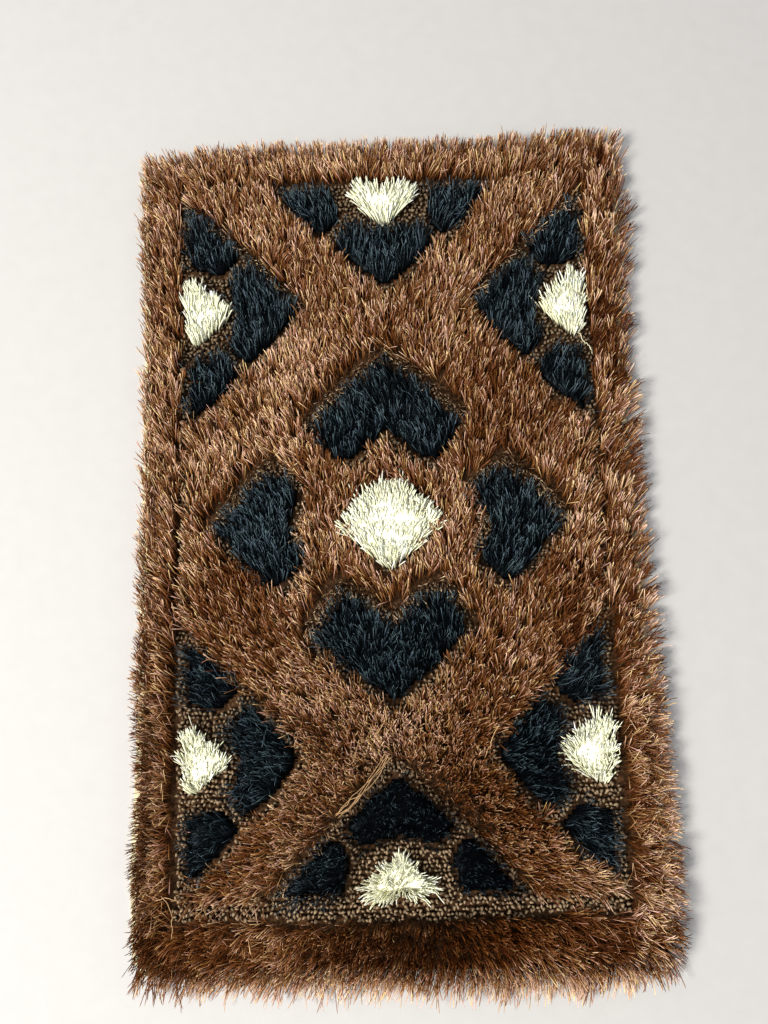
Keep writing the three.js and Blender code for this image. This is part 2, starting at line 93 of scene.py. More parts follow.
# How the pile falls over each side of the cloth: its weight, the width of the strip that falls, its lean and
# slant in degrees. Then how far past the cloth its dense part and its longest strands reach, and how far in
# it is rooted.
SIDES = {
    "left": {
        "weight": 0.20, "width": 0.010, "lean": 60.0, "slant": 0.0,
        "dense": -0.0030, "beyond": 0.0015, "inset": 0.0045,
    },
    "right": {
        "weight": 0.55, "width": 0.016, "lean": 80.0, "slant": 25.0,
        "dense": 0.0060, "beyond": 0.0150, "inset": 0.0020,
    },
    "near": {
        "weight": 1.00, "width": 0.020, "lean": 88.0, "slant": -16.0,
        "dense": 0.0015, "beyond": 0.0310, "inset": 0.0015,
    },
    "far": {
        "weight": 0.55, "width": 0.016, "lean": 80.0, "slant": 0.0,
        "dense": 0.0045, "beyond": 0.0115, "inset": 0.0020,
    },
}

# Towards the near end the cloth's left edge is drawn in this much, and the pile stands further in
CLOTH_LEFT = 0.0045
BARE_LEFT = 0.0120

# The strip along the near edge whose pile isn't thinned, and the one with extra strands
FRINGE_ROOTS = 0.020
FRINGE_EXTRA = 0.0075
FRINGE_PITCH = 0.00225

# Each kind of shag: length, width and lean in degrees. Then the spacing of the roots, the share of them left
# where the pile lies, and the share of a strand's reach that must still stand over ground of its own. The
# roots of the border are found with those of the field, and the ivory ones as IVORY_BRUSH says.
SHAG = {
    "border": {"length": 0.0265, "width": 0.00082, "lean": 66.0},
    "field": {"length": 0.0250, "width": 0.00082, "lean": 66.0, "pitch": 0.0017, "thin": 0.645, "over": 0.8},
    "black": {"length": 0.0245, "width": 0.00070, "lean": 66.0, "pitch": 0.00185, "thin": 0.85, "over": 0.5},
    "ivory": {"length": 0.0245, "width": 0.00140, "lean": 60.0, "pitch": 0.00138},
}

# A few strands stray further than the others
ROGUE_SHARE = 0.05

# Rings of a strand: share of its length and of its width. A ring of no width is a single point.
STRAND = [(0.0, 0.0), (0.48, 0.95), (0.92, 0.9), (1.0, 0.0)]
LOOP_STRAND = [(0.0, 0.0), (0.32, 1.0), (0.68, 1.0), (1.0, 0.0)]

# The low loops: spacing, span, height and width, and how far they stand past a channel and past the panel
LOOP = {"pitch": 0.0041, "span": 0.0026, "height": 0.0050, "width": 0.0040, "past": 0.0022, "rim": 0.022}

# Strands gather in locks, which are longer along the mat than across
LOCK_PITCH = 0.0066
LOCK_SHAPE = np.array([1.0, 0.5])

# Beyond a channel some strands lean back over it: how far off it may be, how many, and how grey they look
FUZZ_BACK = 0.0080
FUZZ_SHARE = 0.80
FUZZ_GREY = 0.55
FUZZ_HUE = np.array([1.20, 1.02, 0.66])

# How far above and below a place the lobes of a heart are looked for, when it may lie in the notch. Strands
# that would cross the notch lean less and are shorter.
NOTCH_STEPS = (0.006, 0.012, 0.018, 0.024, 0.030)
CROSSING_LEAN = 0.30
CROSSING_LENGTH = 0.72

# The low mound between the roots of a patch: the height of its rim, how much each ring of the mound adds, the
# spacing of its points, and which colour of the yarn it has. The black one has the painted shade of the pile's
# depth.
MOUND = {
    "black": {"rim": 0.0045, "step_up": 0.0012, "pitch": 0.0040, "colour": "depth_shade"},
    "ivory": {"rim": 0.0100, "step_up": 0.0022, "pitch": 0.0030, "colour": "body"},
}
MOUND_MARGIN = 0.0022
MOUND_RINGS = 4
MOUND_RING_WIDTH = 0.0025

# Yarn colours in linear light: a painted shade in the depth of the pile, the yarn's own colour along a strand,
# and a painted highlight at a tip in the light. A strand's brightness is base, plus or minus stray. Then how
# much strands differ in hue, and the colour of their gloss.
YARN = {
    "brown": {
        "depth_shade": (0.042, 0.0092, 0.0015),
        "body": (0.268, 0.107, 0.043),
        "light": (0.92, 0.62, 0.455),
        "base": 0.58,
        "stray": 0.34,
        "hue": 0.50,
        "gloss": (1.0, 0.78, 0.58),
    },
    "black": {
        "depth_shade": (0.0008, 0.0012, 0.0018),
        "body": (0.0058, 0.0121, 0.0190),
        "light": (0.080, 0.120, 0.148),
        "base": 0.45,
        "stray": 0.68,
        "hue": 0.20,
        "gloss": (0.72, 0.90, 1.0),
    },
    "ivory": {
        "depth_shade": (0.72, 0.69, 0.47),
        "body": (0.755, 0.745, 0.57),
        "light": (0.81, 0.83, 0.79),
        "base": 0.60,
        "stray": 0.36,
        "hue": 0.16,
        "gloss": (1.0, 1.0, 1.0),
    },
}
LOOP_COLOUR = np.array([0.300, 0.212, 0.128])
STRAY_COLOUR = np.array([0.44, 0.27, 0.13])

# Painted light and shade on the nap, where it looks lighter or darker: soft spots by place, reach and tone, and
# strips by place, half width and tone
PAINTED_NAP_SPOTS = [
    ((0.110, 0.115), 0.085, -0.23),
    ((-0.155, -0.080), 0.095, -0.18),
    ((0.145, -0.075), 0.085, -0.20),
    ((0.110, -0.285), 0.080, -0.16),
    ((-0.130, -0.290), 0.080, -0.18),
    ((-0.015, -0.205), 0.070, 0.18),
    ((-0.235, -0.180), 0.120, -0.08),
    ((0.240, -0.180), 0.110, 0.08),
    ((-0.080, 0.140), 0.090, 0.06),
    ((0.230, 0.200), 0.130, -0.17),
    ((-0.128, 0.012), 0.060, 0.30),
    ((0.012, 0.140), 0.042, -0.26),
    ((0.002, -0.300), 0.075, 0.08),
    ((0.150, -0.170), 0.090, -0.09),
]
PAINTED_NAP_STRIPS = [
    (-0.357, 0.028, -0.28),
    (0.405, 0.045, 0.18),
]


def smooth(x):
    """Smoothstep from 0 to 1."""
    t = np.clip(x, 0.0, 1.0)
    return t * t * (3.0 - 2.0 * t)


def mix(a, b, t):
    return a + (b - a) * t


def heading(azimuth):
    """A unit step in each direction."""
    return np.column_stack([np.cos(azimuth), np.sin(azimuth)])


def rightness_at(places):
    """How far to the right each place lies, from 0 to 1."""
    return smooth((places[:, 0] - 0.12) / 0.10)


# Noise and locks

# Side of the square round the mat's middle that has noise and locks
NOISE_SIDE = 1.2


def drift(seed, places, step):
    """A smooth random number from -1 to 1 at each place, which changes over about step metres."""
    rng = np.random.default_rng(seed)
    side = int(NOISE_SIDE / step) + 3
    lattice = rng.uniform(-1.0, 1.0, (side, side))
    at = (places + NOISE_SIDE / 2.0) / step
    cell = np.floor(at).astype(int)
    t = smooth(at - cell)
    i, j = cell[:, 0], cell[:, 1]
    low = mix(lattice[i, j], lattice[i + 1, j], t[:, 0])
    high = mix(lattice[i, j + 1], lattice[i + 1, j + 1], t[:, 0])
    return mix(low, high, t[:, 1])


def ragged(roots, reach):
    """A small shift at each root, which makes the edges of the figures ragged."""
    return np.stack([drift(5, roots, 0.006), drift(6, roots, 0.006)], 1) * reach


def locks(seed, places):
    """The lock that each place belongs to: its middle and a number of its own from 0 to 1."""
    rng = np.random.default_rng(seed)
    places = places * LOCK_SHAPE
    side = int(NOISE_SIDE / LOCK_PITCH) + 4
    jitter = rng.uniform(0.1, 0.9, (side, side, 2))
    own = rng.uniform(0.0, 1.0, (side, side))
    cell = np.floor((places + NOISE_SIDE / 2.0) / LOCK_PITCH).astype(int)
    best = np.full(len(places), np.inf)
    middle = np.zeros_like(places)
    number = np.zeros(len(places))
    for step_x in (-1, 0, 1):
        for step_y in (-1, 0, 1):
            i = cell[:, 0] + step_x
            j = cell[:, 1] + step_y
            centre = (np.stack([i, j], 1) + jitter[i, j]) * LOCK_PITCH - NOISE_SIDE / 2.0
            distance = np.linalg.norm(places - centre, axis=1)
            nearer = distance < best
            best[nearer] = distance[nearer]
            middle[nearer] = centre[nearer]
            number[nearer] = own[i, j][nearer]
    return middle / LOCK_SHAPE, number


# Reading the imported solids


def cloth_outline():
    """The cloth's corners in order round its middle."""
    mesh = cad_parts["backing_cloth"].data
    corners = {(round(v.co.x, 5), round(v.co.y, 5)) for v in mesh.vertices}
    return np.array(sorted(corners, key=lambda p: math.atan2(p[1], p[0])))


def ray_tree(names):
    """One tree over several nodes, with the number of the node that each face belongs to."""
    corners, faces, owner = [], [], []
    for number, name in enumerate(names):
        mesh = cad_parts[name].data
        first = len(corners)
        corners.extend(v.co.copy() for v in mesh.vertices)
        for face in mesh.polygons:
            faces.append([first + i for i in face.vertices])
            owner.append(number)
    return BVHTree.FromPolygons(corners, faces), owner


def panel_sides():
    """The panel's sides, just outside the patches that stand along them."""
    margin = 0.003
    return {
        "left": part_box("ivory_half_diamond_left_far")[0].x - margin,
        "right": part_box("ivory_half_diamond_right_far")[1].x + margin,
        "near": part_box("black_half_heart_near_a")[0].y - margin,
        "far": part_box("black_half_heart_far_a")[1].y + margin,
    }


OUTLINE = cloth_outline()
PATCH_NAMES = sorted(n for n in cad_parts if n.startswith(("black", "ivory")))


def neighbours(cells):
    """A grid of cells, moved one step to each of the four sides."""
    return [np.roll(cells, step, axis) for axis in (0, 1) for step in (1, -1)]


def zone_map():
    """What stands at each step of a grid over the mat: a patch's number, BROWN, CHANNEL or NOTHING.

    Strips of brown too thin for shag count as channel, and so does a groove along the panel's near side.
    """
    brown, _ = ray_tree(["brown_pile"])
    patches, owner = ray_tree(PATCH_NAMES)
    down = Vector((0.0, 0.0, -1.0))
    low, high = OUTLINE.min(0) - MAP_MARGIN, OUTLINE.max(0) + MAP_MARGIN
    counts = np.ceil((high - low) / MAP_STEP).astype(int)
    zones = np.full(counts, NOTHING)
    for i in range(counts[0]):
        for j in range(counts[1]):
            above = Vector((low[0] + i * MAP_STEP, low[1] + j * MAP_STEP, RAY_HEIGHT))
            _, _, face, _ = patches.ray_cast(above, down)
            if face is not None:
                zones[i, j] = owner[face]
                continue
            hit, _, face, _ = brown.ray_cast(above, down)
            if face is not None:
                zones[i, j] = CHANNEL if hit.z < LOOP_FLOOR else BROWN
    wide = zones == BROWN
    for _ in range(THIN_STEPS):
        wide = np.all([wide, *neighbours(wide)], axis=0)
    for _ in range(THIN_STEPS + 1):
        wide = np.any([wide, *neighbours(wide)], axis=0)
    zones[(zones == BROWN) & ~wide] = CHANNEL
    panel = panel_sides()
    left, right = ((panel[side] - low[0]) / MAP_STEP for side in ("left", "right"))
    near = (panel["near"] - low[1]) / MAP_STEP
    for i in range(int(left) - 4, int(right) + 4):
        place = np.array([[low[0] + i * MAP_STEP, 0.0]])
        wider = int(4.0 * drift(8, place, 0.030)[0] + 3.0 * drift(9, place, 0.007)[0])
        strip = zones[i, int(near) - NEAR_GROOVE_STEPS - wider : int(near)]
        strip[strip == BROWN] = CHANNEL
    return low, zones


MAP_LOW, ZONE_MAP = zone_map()


def zone_at(places):
    """Zone of each place, read from the map."""
    cell = np.rint((places - MAP_LOW) / MAP_STEP).astype(int)
    i = np.clip(cell[:, 0], 0, ZONE_MAP.shape[0] - 1)
    j = np.clip(cell[:, 1], 0, ZONE_MAP.shape[1] - 1)
    return ZONE_MAP[i, j]


def edge_of_cloth(places):
    """Distance inside the cloth's edge, negative outside, and the outward direction there."""
    best = np.full(len(places), np.inf)
    outward = np.zeros_like(places)
    inside = np.zeros(len(places), bool)
    x, y = places[:, 0], places[:, 1]
    for a, b in zip(OUTLINE, np.roll(OUTLINE, -1, axis=0)):
        along = b - a
        normal = np.array([along[1], -along[0]]) / np.linalg.norm(along)
        share = np.clip((places - a) @ along / (along @ along), 0.0, 1.0)
        distance = np.linalg.norm(places - (a + share[:, None] * along), axis=1)
        if along[1] != 0.0:
            inside ^= ((a[1] > y) != (b[1] > y)) & (x < a[0] + (y - a[1]) * along[0] / along[1])
        nearer = distance < best
        best[nearer] = distance[nearer]
        outward[nearer] = normal
    return np.where(inside, best, -best), outward


def from_left(places):
    """Distance of each place from the cloth's left edge, and how far down that edge it is, from 0 to 1."""
    left = OUTLINE[OUTLINE[:, 0] < -0.2]
    left = left[np.argsort(left[:, 1])]
    edge = np.interp(places[:, 1], left[:, 1], left[:, 0])
    return places[:, 0] - edge, smooth((-0.04 - places[:, 1]) / 0.20)


def by_side(outward, key):
    """A value of the mat's sides, blended by the direction outwards."""
    share = outward**2
    x_value = np.where(outward[:, 0] < 0, SIDES["left"][key], SIDES["right"][key])
    y_value = np.where(outward[:, 1] < 0, SIDES["near"][key], SIDES["far"][key])
    return share[:, 0] * x_value + share[:, 1] * y_value


def staggered_cells(pitch):
    """Cells of a grid all over the cloth, where every second row is half a cell further right."""
    counts = np.ceil((OUTLINE.max(0) - OUTLINE.min(0)) / pitch).astype(int)
    i, j = np.meshgrid(np.arange(counts[0]), np.arange(counts[1]), indexing="ij")
    return np.stack([i.ravel() + 0.5 * (j.ravel() % 2), j.ravel()], 1)


def candidates(seed, pitch):
    """Roots on a jittered grid all over the cloth, each with a random number of its own."""
    rng = np.random.default_rng(seed)
    cells = staggered_cells(pitch)
    places = OUTLINE.min(0) + (cells + rng.uniform(0.0, 0.95, cells.shape)) * pitch
    luck = rng.uniform(0.0, 1.0, len(places))
    distance, outward = edge_of_cloth(places)
    across, lowness = from_left(places)
    keep = (distance > by_side(outward, "inset")) & (across > BARE_LEFT * lowness)
    return places[keep], luck[keep]


# How the pile lies


def comb(places, luck, most):
    """Direction and lean of the pile at each place, and how it falls over the cloth's edge."""
    away = places - COMB_SOURCE
    away[:, 0] *= mix(COMB_SPREAD_NEAR, COMB_SPREAD_FAR, smooth(away[:, 1] / 0.25))
    azimuth = np.arctan2(away[:, 1], away[:, 0])
    combed = smooth(np.linalg.norm(away, axis=1) / COMB_REACH)
    flow = heading(azimuth) * np.sin(np.radians(most) * combed)[:, None]
    flow = flow + NAP_SHIFT * (1.0 - combed)[:, None]
    distance, outward = edge_of_cloth(places)
    falling = by_side(outward, "weight") * (1.0 - smooth(distance / by_side(outward, "width")))
    fall = np.radians(by_side(outward, "lean"))
    fall_azimuth = np.arctan2(outward[:, 1], outward[:, 0]) + np.radians(by_side(outward, "slant"))
    flow = mix(flow, heading(fall_azimuth) * np.sin(fall)[:, None], falling[:, None])
    across, lowness = from_left(places)
    flow[:, 0] = np.maximum(flow[:, 0], (BARE_LEFT * lowness - across) / PILE_REACH)
    room = (distance + mix(by_side(outward, "dense"), by_side(outward, "beyond"), luck**1.2)) / PILE_REACH
    azimuth, lean, excess = kept_in(flow, outward, room)
    return azimuth, lean, {"falling": falling * (excess < 0.05), "outward": outward, "room": room}


def kept_in(flow, outward, room):
    """Direction and lean of a flow that goes no further outwards than its room, and what was taken off."""
    excess = np.maximum((flow * outward).sum(1) - room, 0.0)
    flow = flow - outward * excess[:, None]
    azimuth = np.arctan2(flow[:, 1], flow[:, 0])
    lean = np.arcsin(np.clip(np.linalg.norm(flow, axis=1), 0.0, 0.999))
    return azimuth, lean, excess


def nap_light_shade_and_tone(places, azimuth, lean):
    """Painted light and shade of the pile: darker upright, lighter where it leans towards the lamp on the left,
    with random patches of tone and the painted spots and strips.
    """
    upright = 1.0 - smooth((lean - math.radians(15.0)) / math.radians(35.0))
    tone = -0.09 * upright - 0.05 * np.cos(azimuth) * (1.0 - upright)
    tone += 0.12 * drift(91, places, 0.045) + 0.08 * drift(93, places, 0.014)
    tone += 0.20 * drift(94, places, 0.013) * rightness_at(places)
    for at, reach, change in PAINTED_NAP_SPOTS:
        distance = np.linalg.norm(places - np.array(at), axis=1)
        tone += change * (1.0 - smooth(distance / reach))
    for y, half, change in PAINTED_NAP_STRIPS:
        tone += change * (1.0 - smooth(np.abs(places[:, 1] - y) / half))
    return tone


# Strands

# A part is a dictionary of points, faces, a tint for each point, and for each face its cell of the map and
# the spots of its corners there.


def strand_template(rings):
    """Triangles of one three-sided strand, their spots in its cell of the map, and each point's share."""
    faces, spots, shares = [], [], []
    first = 0
    for (share, thickness), (next_share, next_thickness) in zip(rings, rings[1:]):
        second = first + (1 if thickness == 0.0 else 3)
        for corner in range(3):
            following = (corner + 1) % 3
            left, right, middle = corner / 3.0, (corner + 1) / 3.0, (corner + 0.5) / 3.0
            if thickness == 0.0:
                faces.append((first, second + following, second + corner))
                spots.append(((middle, share), (right, next_share), (left, next_share)))
                continue
            if next_thickness == 0.0:
                faces.append((first + corner, first + following, second))
                spots.append(((left, share), (right, share), (middle, next_share)))
                continue
            faces.append((first + corner, first + following, second + following))
            spots.append(((left, share), (right, share), (right, next_share)))
            faces.append((first + corner, second + following, second + corner))
            spots.append(((left, share), (right, next_share), (left, next_share)))
        first = second
    for share, thickness in rings:
        shares += [share] * (1 if thickness == 0.0 else 3)
    return np.array(faces), np.array(spots), np.array(shares)


def swept_part(rings, centres, across, above, width, roll, tint):
    """Three-sided strands swept along middle lines, given at each ring."""
    points = []
    for (_, thickness), centre, sideways, up in zip(rings, centres, across, above):
        if thickness == 0.0:
            points.append(centre)
            continue
        reach = (width * thickness * 0.5)[:, None]
        for corner in range(3):
            angle = (roll + corner * 2.0 * math.pi / 3.0)[:, None]
            points.append(centre + reach * (sideways * np.cos(angle) + up * np.sin(angle)))
    points = np.stack(points, 1)
    count, each = points.shape[:2]
    faces, spots, _ = strand_template(rings)
    all_faces = (faces[None] + (np.arange(count) * each)[:, None, None]).reshape(-1, 3)
    return {
        "points": points.reshape(-1, 3),
        "faces": all_faces,
        "tint": tint.reshape(-1, 3),
        "cell": np.repeat(np.arange(count), len(faces)),
        "spot": np.tile(spots, (count, 1, 1)),
    }


def joined(parts):
    """Several parts in one, each with cells of its own on the map."""
    whole = {key: [] for key in parts[0]}
    first_point = 0
    first_cell = 0
    for part in parts:
        whole["points"].append(part["points"])
        whole["tint"].append(part["tint"])
        whole["spot"].append(part["spot"])
        whole["faces"].append(part["faces"] + first_point)
        whole["cell"].append(part["cell"] + first_cell)
        first_point += len(part["points"])
        first_cell += int(part["cell"].max()) + 1
    return {key: np.concatenate(rows) for key, rows in whole.items()}


def bent_strands(roots, bend, length, width, tint):
    """Strands that rise from their roots and lean more and more towards their tips."""
    count = len(roots)
    centre = np.column_stack([roots, np.full(count, ROOT_HEIGHT)])
    centres, across, above = [], [], []
    last = 0.0
    for share, _ in STRAND:
        middle = (share + last) / 2.0
        lean = mix(bend["root_lean"], bend["tip_lean"], middle**0.8)
        turn = bend["azimuth"] + bend["sway"] * middle
        ahead = np.column_stack([np.sin(lean) * np.cos(turn), np.sin(lean) * np.sin(turn), np.cos(lean)])
        centre = centre + ahead * (length * (share - last))[:, None]
        here = centre.copy()
        here[:, :2] += bend["gather"] * share**2
        here[:, 2] = np.maximum(here[:, 2], FLOOR_CLEARANCE + width * 0.5)
        sideways = np.column_stack([-np.sin(turn), np.cos(turn), np.zeros(count)])
        centres.append(here)
        across.append(sideways)
        above.append(np.cross(ahead, sideways))
        last = share
    return swept_part(STRAND, centres, across, above, width, bend["roll"], tint)


def yarn_tint(yarn, own, tone, contrast):
    """Colour at each point of each strand: painted shade darker towards the root and a painted highlight
    towards a bright strand's tip, each strand with a tone of its own.
    """
    look = YARN[yarn]
    depth_shade, body, light = (np.array(look[key]) for key in ("depth_shade", "body", "light"))
    shares = strand_template(STRAND)[2]
    bright = np.clip(look["base"] + look["stray"] * contrast * (own**1.5 * 2.0 - 0.8) + tone, 0.03, 1.0)
    ramp = bright[:, None] * mix(0.10, 1.08, shares[None] ** 1.1)
    # Painted shade from the depth shade colour at the root up to the body, then a painted highlight up to the
    # light colour near the tip of bright strands
    lower = depth_shade * (body / depth_shade) ** np.clip(ramp * 2.0, 0.0, 1.0)[..., None]
    colour = mix(lower, light, np.clip(ramp * 2.0 - 1.0, 0.0, 1.0)[..., None])
    hue = ((own * 37.7) % 1.0 - 0.3) * look["hue"]
    return colour * np.column_stack([np.ones(len(hue)), 1.0 + 0.35 * hue, 1.0 - hue])[:, None, :]


def grooved(places, luck):
    """Whether each root stands in the brown part of the groove round the panel.

    The near side and a share of the other sides stay open for loops, most of all the left side.
    """
    panel = panel_sides()
    left = places[:, 0] < panel["left"]
    beside = left | (places[:, 0] > panel["right"]) | (places[:, 1] > panel["far"])
    open_share = np.where(left & (places[:, 1] < panel["far"] - 0.04), 0.30, 0.12)
    return beside & (zone_at(places) == CHANNEL) & (luck > open_share)


def past_channel(places, azimuth):
    """Whether a channel or a patch lies just behind each place, against the way the pile leans."""
    return zone_at(places - heading(azimuth) * FUZZ_BACK) != BROWN


def between_lobes(places, own):
    """Whether each place lies in the notch of a heart, which has the zone number given."""
    above = np.zeros(len(places), bool)
    below = np.zeros(len(places), bool)
    for step in NOTCH_STEPS:
        above |= zone_at(places + np.array([0.0, step])) == own
        below |= zone_at(places - np.array([0.0, step])) == own
    return (zone_at(places) != own) & above & below


def over_notch(roots, azimuth, reach):
    """Whether each strand ends between the two lobes of the heart that it grows in."""
    over = np.zeros(len(roots), bool)
    for share in (0.45, 0.70, 0.95):
        over |= between_lobes(roots + heading(azimuth) * (share * reach)[:, None], zone_at(roots))
    return over


def roots_of(seed, kind, wanted):
    """Roots, luck and zone of one kind of shag, where its far part doesn't hide a patch beyond."""
    size = SHAG[kind]
    roots, luck = candidates(seed, size["pitch"])
    foot_zone = np.where(grooved(roots, luck), BROWN, zone_at(roots))
    azimuth, lean, _ = comb(roots, luck, size["lean"])
    left = mix(1.0, size["thin"], smooth((lean - math.radians(28.0)) / math.radians(26.0)))
    left = np.where((foot_zone == BROWN) & past_channel(roots, azimuth), 1.0, left)
    left = np.where(roots[:, 1] < OUTLINE[:, 1].min() + FRINGE_ROOTS, 1.0, left)
    chosen = wanted(foot_zone) & ((luck * 61.3) % 1.0 < left)
    roots, luck, foot_zone, azimuth, lean = (row[chosen] for row in (roots, luck, foot_zone, azimuth, lean))
    reach = np.sin(lean) * size["length"] * size["over"]
    far_zone = zone_at(roots + heading(azimuth) * reach[:, None] + ragged(roots, 0.0012))
    keep = (far_zone == foot_zone) | ((foot_zone == BROWN) & (far_zone < 0))
    return roots[keep], luck[keep], foot_zone[keep]


def lean_back(roots, azimuth, lean, length, rng):
    """Turns some strands back over the channel behind them, short and steep, and says which ones."""
    count = len(roots)
    share = FUZZ_SHARE * mix(0.35, 1.0, smooth((roots[:, 1] + 0.22) / 0.16))
    back = past_channel(roots, azimuth) & (rng.uniform(0.0, 1.0, count) < share)
    azimuth = azimuth + back * (math.pi + rng.normal(0.0, 0.6, count))
    lean = np.where(back, np.radians(rng.uniform(15.0, 50.0, count)), lean)
    length = length * np.where(back, rng.uniform(0.48, 0.75, count), 1.0)
    return azimuth, lean, length, back


def grow(seed, yarn, kind, roots, luck, fan=None):
    """One kind of shag on these roots. A fan, if given, says how its strands lie instead of the comb."""
    rng = np.random.default_rng(seed)
    size = SHAG[kind]
    count = len(roots)
    azimuth, lean, edge = comb(roots, luck, size["lean"])
    falling = edge["falling"]
    near_fringe = falling * smooth(-edge["outward"][:, 1])
    middle, lock = locks(seed + 1, roots)
    rightness = rightness_at(roots)
    # The tone holds the nap's painted light and shade and each lock's own tone
    tone = nap_light_shade_and_tone(roots, azimuth, lean) + mix(0.18, 0.56, rightness) * (lock - 0.5)
    rogue = rng.uniform(0.0, 1.0, count) < ROGUE_SHARE

    # Each lock turns and leans its own way, and each strand strays from it a little
    azimuth = azimuth + np.radians(16.0 * drift(21, roots, 0.055) + 14.0 * drift(22, roots, 0.018))
    nearness = smooth((-0.02 - roots[:, 1]) / 0.26)
    ruffle = mix(10.0, 20.0, nearness) * (1.0 - 0.3 * falling) * (1.0 - 0.5 * near_fringe)
    stray = rng.normal(0.0, 1.0, count) * ruffle * (1.0 + 2.0 * rogue)
    azimuth = azimuth + np.radians(40.0 * (lock - 0.5) * (1.0 - 0.7 * near_fringe) + stray)
    lean = lean + np.radians(8.0 * drift(23, roots, 0.03) + 22.0 * ((lock * 5.7) % 1.0 - 0.5))
    lean = np.clip(lean + np.radians(rng.normal(0.0, 7.0, count)) * (1.0 - falling), 0.02, 1.55)
    azimuth, lean, _ = kept_in(heading(azimuth) * np.sin(lean)[:, None], edge["outward"], edge["room"])
    length = size["length"] * (0.98 + 0.20 * ((lock * 9.1) % 1.0 - 0.5) + rng.uniform(-0.12, 0.05, count))
    length = length * (1.0 + 0.32 * smooth((edge["room"] - 0.7) * 2.0) * falling)
    length = length * np.where(zone_at(roots) == CHANNEL, 0.78, 1.0)

    # Short grey strands lean back over the channels, and black ones keep the notches of the hearts open
    if kind == "field":
        azimuth, lean, length, back = lean_back(roots, azimuth, lean, length, rng)
        # Painted shade: these short strands' tips lie low, so their tone is darker
        tone = tone - 0.06 * back
    if kind == "black":
        crossing = over_notch(roots, azimuth, length * np.sin(lean))
        lean = np.where(crossing, CROSSING_LEAN * lean, lean)
        length = np.where(crossing, CROSSING_LENGTH * length, length)
    if fan is not None:
        azimuth, lean, length = fan(roots, length, rng)
        tone = 0.10 * drift(92, roots, 0.008)
        ruffle = ruffle * 0.8
    bend = {
        "azimuth": azimuth,
        "root_lean": np.clip(lean * 0.45, 0.02, 1.2),
        "tip_lean": np.clip(lean * 1.22 + falling * 0.55, 0.1, 1.95),
        "sway": np.radians(rng.normal(0.0, 1.6, count) * ruffle),
        "gather": (middle - roots) * (rng.uniform(0.25, 0.70, count) * (1.0 + 0.35 * rightness))[:, None],
        "roll": rng.uniform(0.0, 2.0 * math.pi, count),
    }
    contrast = 1.0 - 0.32 * nearness * (1.0 - rightness) + 0.20 * rightness
    own = rng.uniform(0.0, 1.0, count)
    tint = yarn_tint(yarn, own, tone + 0.10 * rogue + 0.15 * near_fringe, contrast)
    if kind == "field":
        grey = tint.mean(2, keepdims=True) * FUZZ_HUE
        tint = mix(tint, grey, FUZZ_GREY * back[:, None, None])
    width = size["width"] * rng.uniform(0.80, 1.18, count)
    width = width * mix(1.04, 0.84, nearness) * (1.0 + 0.4 * near_fringe)
    return bent_strands(roots, bend, length, width, tint)


# Meshes and materials


def closed_cells(flat, top, low, inside):
    """Points and faces of a closed layer on the cells of a grid whose corners are all inside, down to low."""
    cells = inside[:-1, :-1] & inside[1:, :-1] & inside[1:, 1:] & inside[:-1, 1:]
    index = np.arange(inside.size).reshape(inside.shape)
    i, j = np.nonzero(cells)
    a, b, c, d = index[i, j], index[i + 1, j], index[i + 1, j + 1], index[i, j + 1]
    upper = np.concatenate([np.stack([a, b, c], 1), np.stack([a, c, d], 1)])
    sides = {(int(p), int(q)) for pair in ((a, b), (b, c), (c, d), (d, a)) for p, q in zip(*pair)}
    rim = np.array([(p, q) for p, q in sorted(sides) if (q, p) not in sides])
    total = len(flat)
    walls = np.concatenate([
        np.stack([rim[:, 0] + total, rim[:, 1] + total, rim[:, 1]], 1),
        np.stack([rim[:, 0] + total, rim[:, 1], rim[:, 0]], 1),
    ])
    points = np.concatenate([np.column_stack([flat, height]) for height in (top, np.full(total, low))])
    used, faces = np.unique(np.concatenate([upper, upper[:, ::-1] + total, walls]), return_inverse=True)
    return points[used], faces.reshape(-1, 3)


def new_object(name, data):
    """An object of the scene that shows this mesh, lamp or camera."""
    item = bpy.data.objects.new(name, data)
    bpy.context.scene.collection.objects.link(item)
    return item


def map_places(part):
    """Place of each face's corners on the map, where every cell has a square of its own."""
    side = math.ceil(math.sqrt(int(part["cell"].max()) + 1))
    corner = np.stack([part["cell"] % side, part["cell"] // side], 1)[:, None, :]
    return (corner + 0.06 + 0.88 * part["spot"]) / side


def mesh_piece(name, part, material):
    """A smooth triangle mesh that rides on the mat. Pieces of yarn have a tint and a map of their own."""
    points, faces = part["points"], part["faces"]
    mesh = bpy.data.meshes.new(name)
    mesh.vertices.add(len(points))
    mesh.vertices.foreach_set("co", points.astype(np.float32).ravel())
    mesh.loops.add(len(faces) * 3)
    mesh.loops.foreach_set("vertex_index", faces.astype(np.int32).ravel())
    mesh.polygons.add(len(faces))
    mesh.polygons.foreach_set("loop_start", np.arange(0, len(faces) * 3, 3, dtype=np.int32))
    mesh.polygons.foreach_set("use_smooth", np.ones(len(faces), bool))
    mesh.update(calc_edges=True)
    if "tint" in part:
        layer = mesh.color_attributes.new("yarn_tint", "FLOAT_COLOR", "POINT")
        colours = np.column_stack([part["tint"], np.ones(len(points))])
        layer.data.foreach_set("color", colours.astype(np.float32).ravel())
    if "cell" in part:
        layer = mesh.uv_layers.new(name="OFBake")
        layer.uv.foreach_set("vector", map_places(part).astype(np.float32).ravel())
    mesh.materials.append(material)
    piece = new_object(name, mesh)
    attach(piece, "root")
    return piece


def new_material(name, roughness):
    material = bpy.data.materials.new(name)
    material.use_nodes = True
    shader = material.node_tree.nodes["Principled BSDF"]
    shader.inputs["Roughness"].default_value = roughness
    return material, material.node_tree, shader


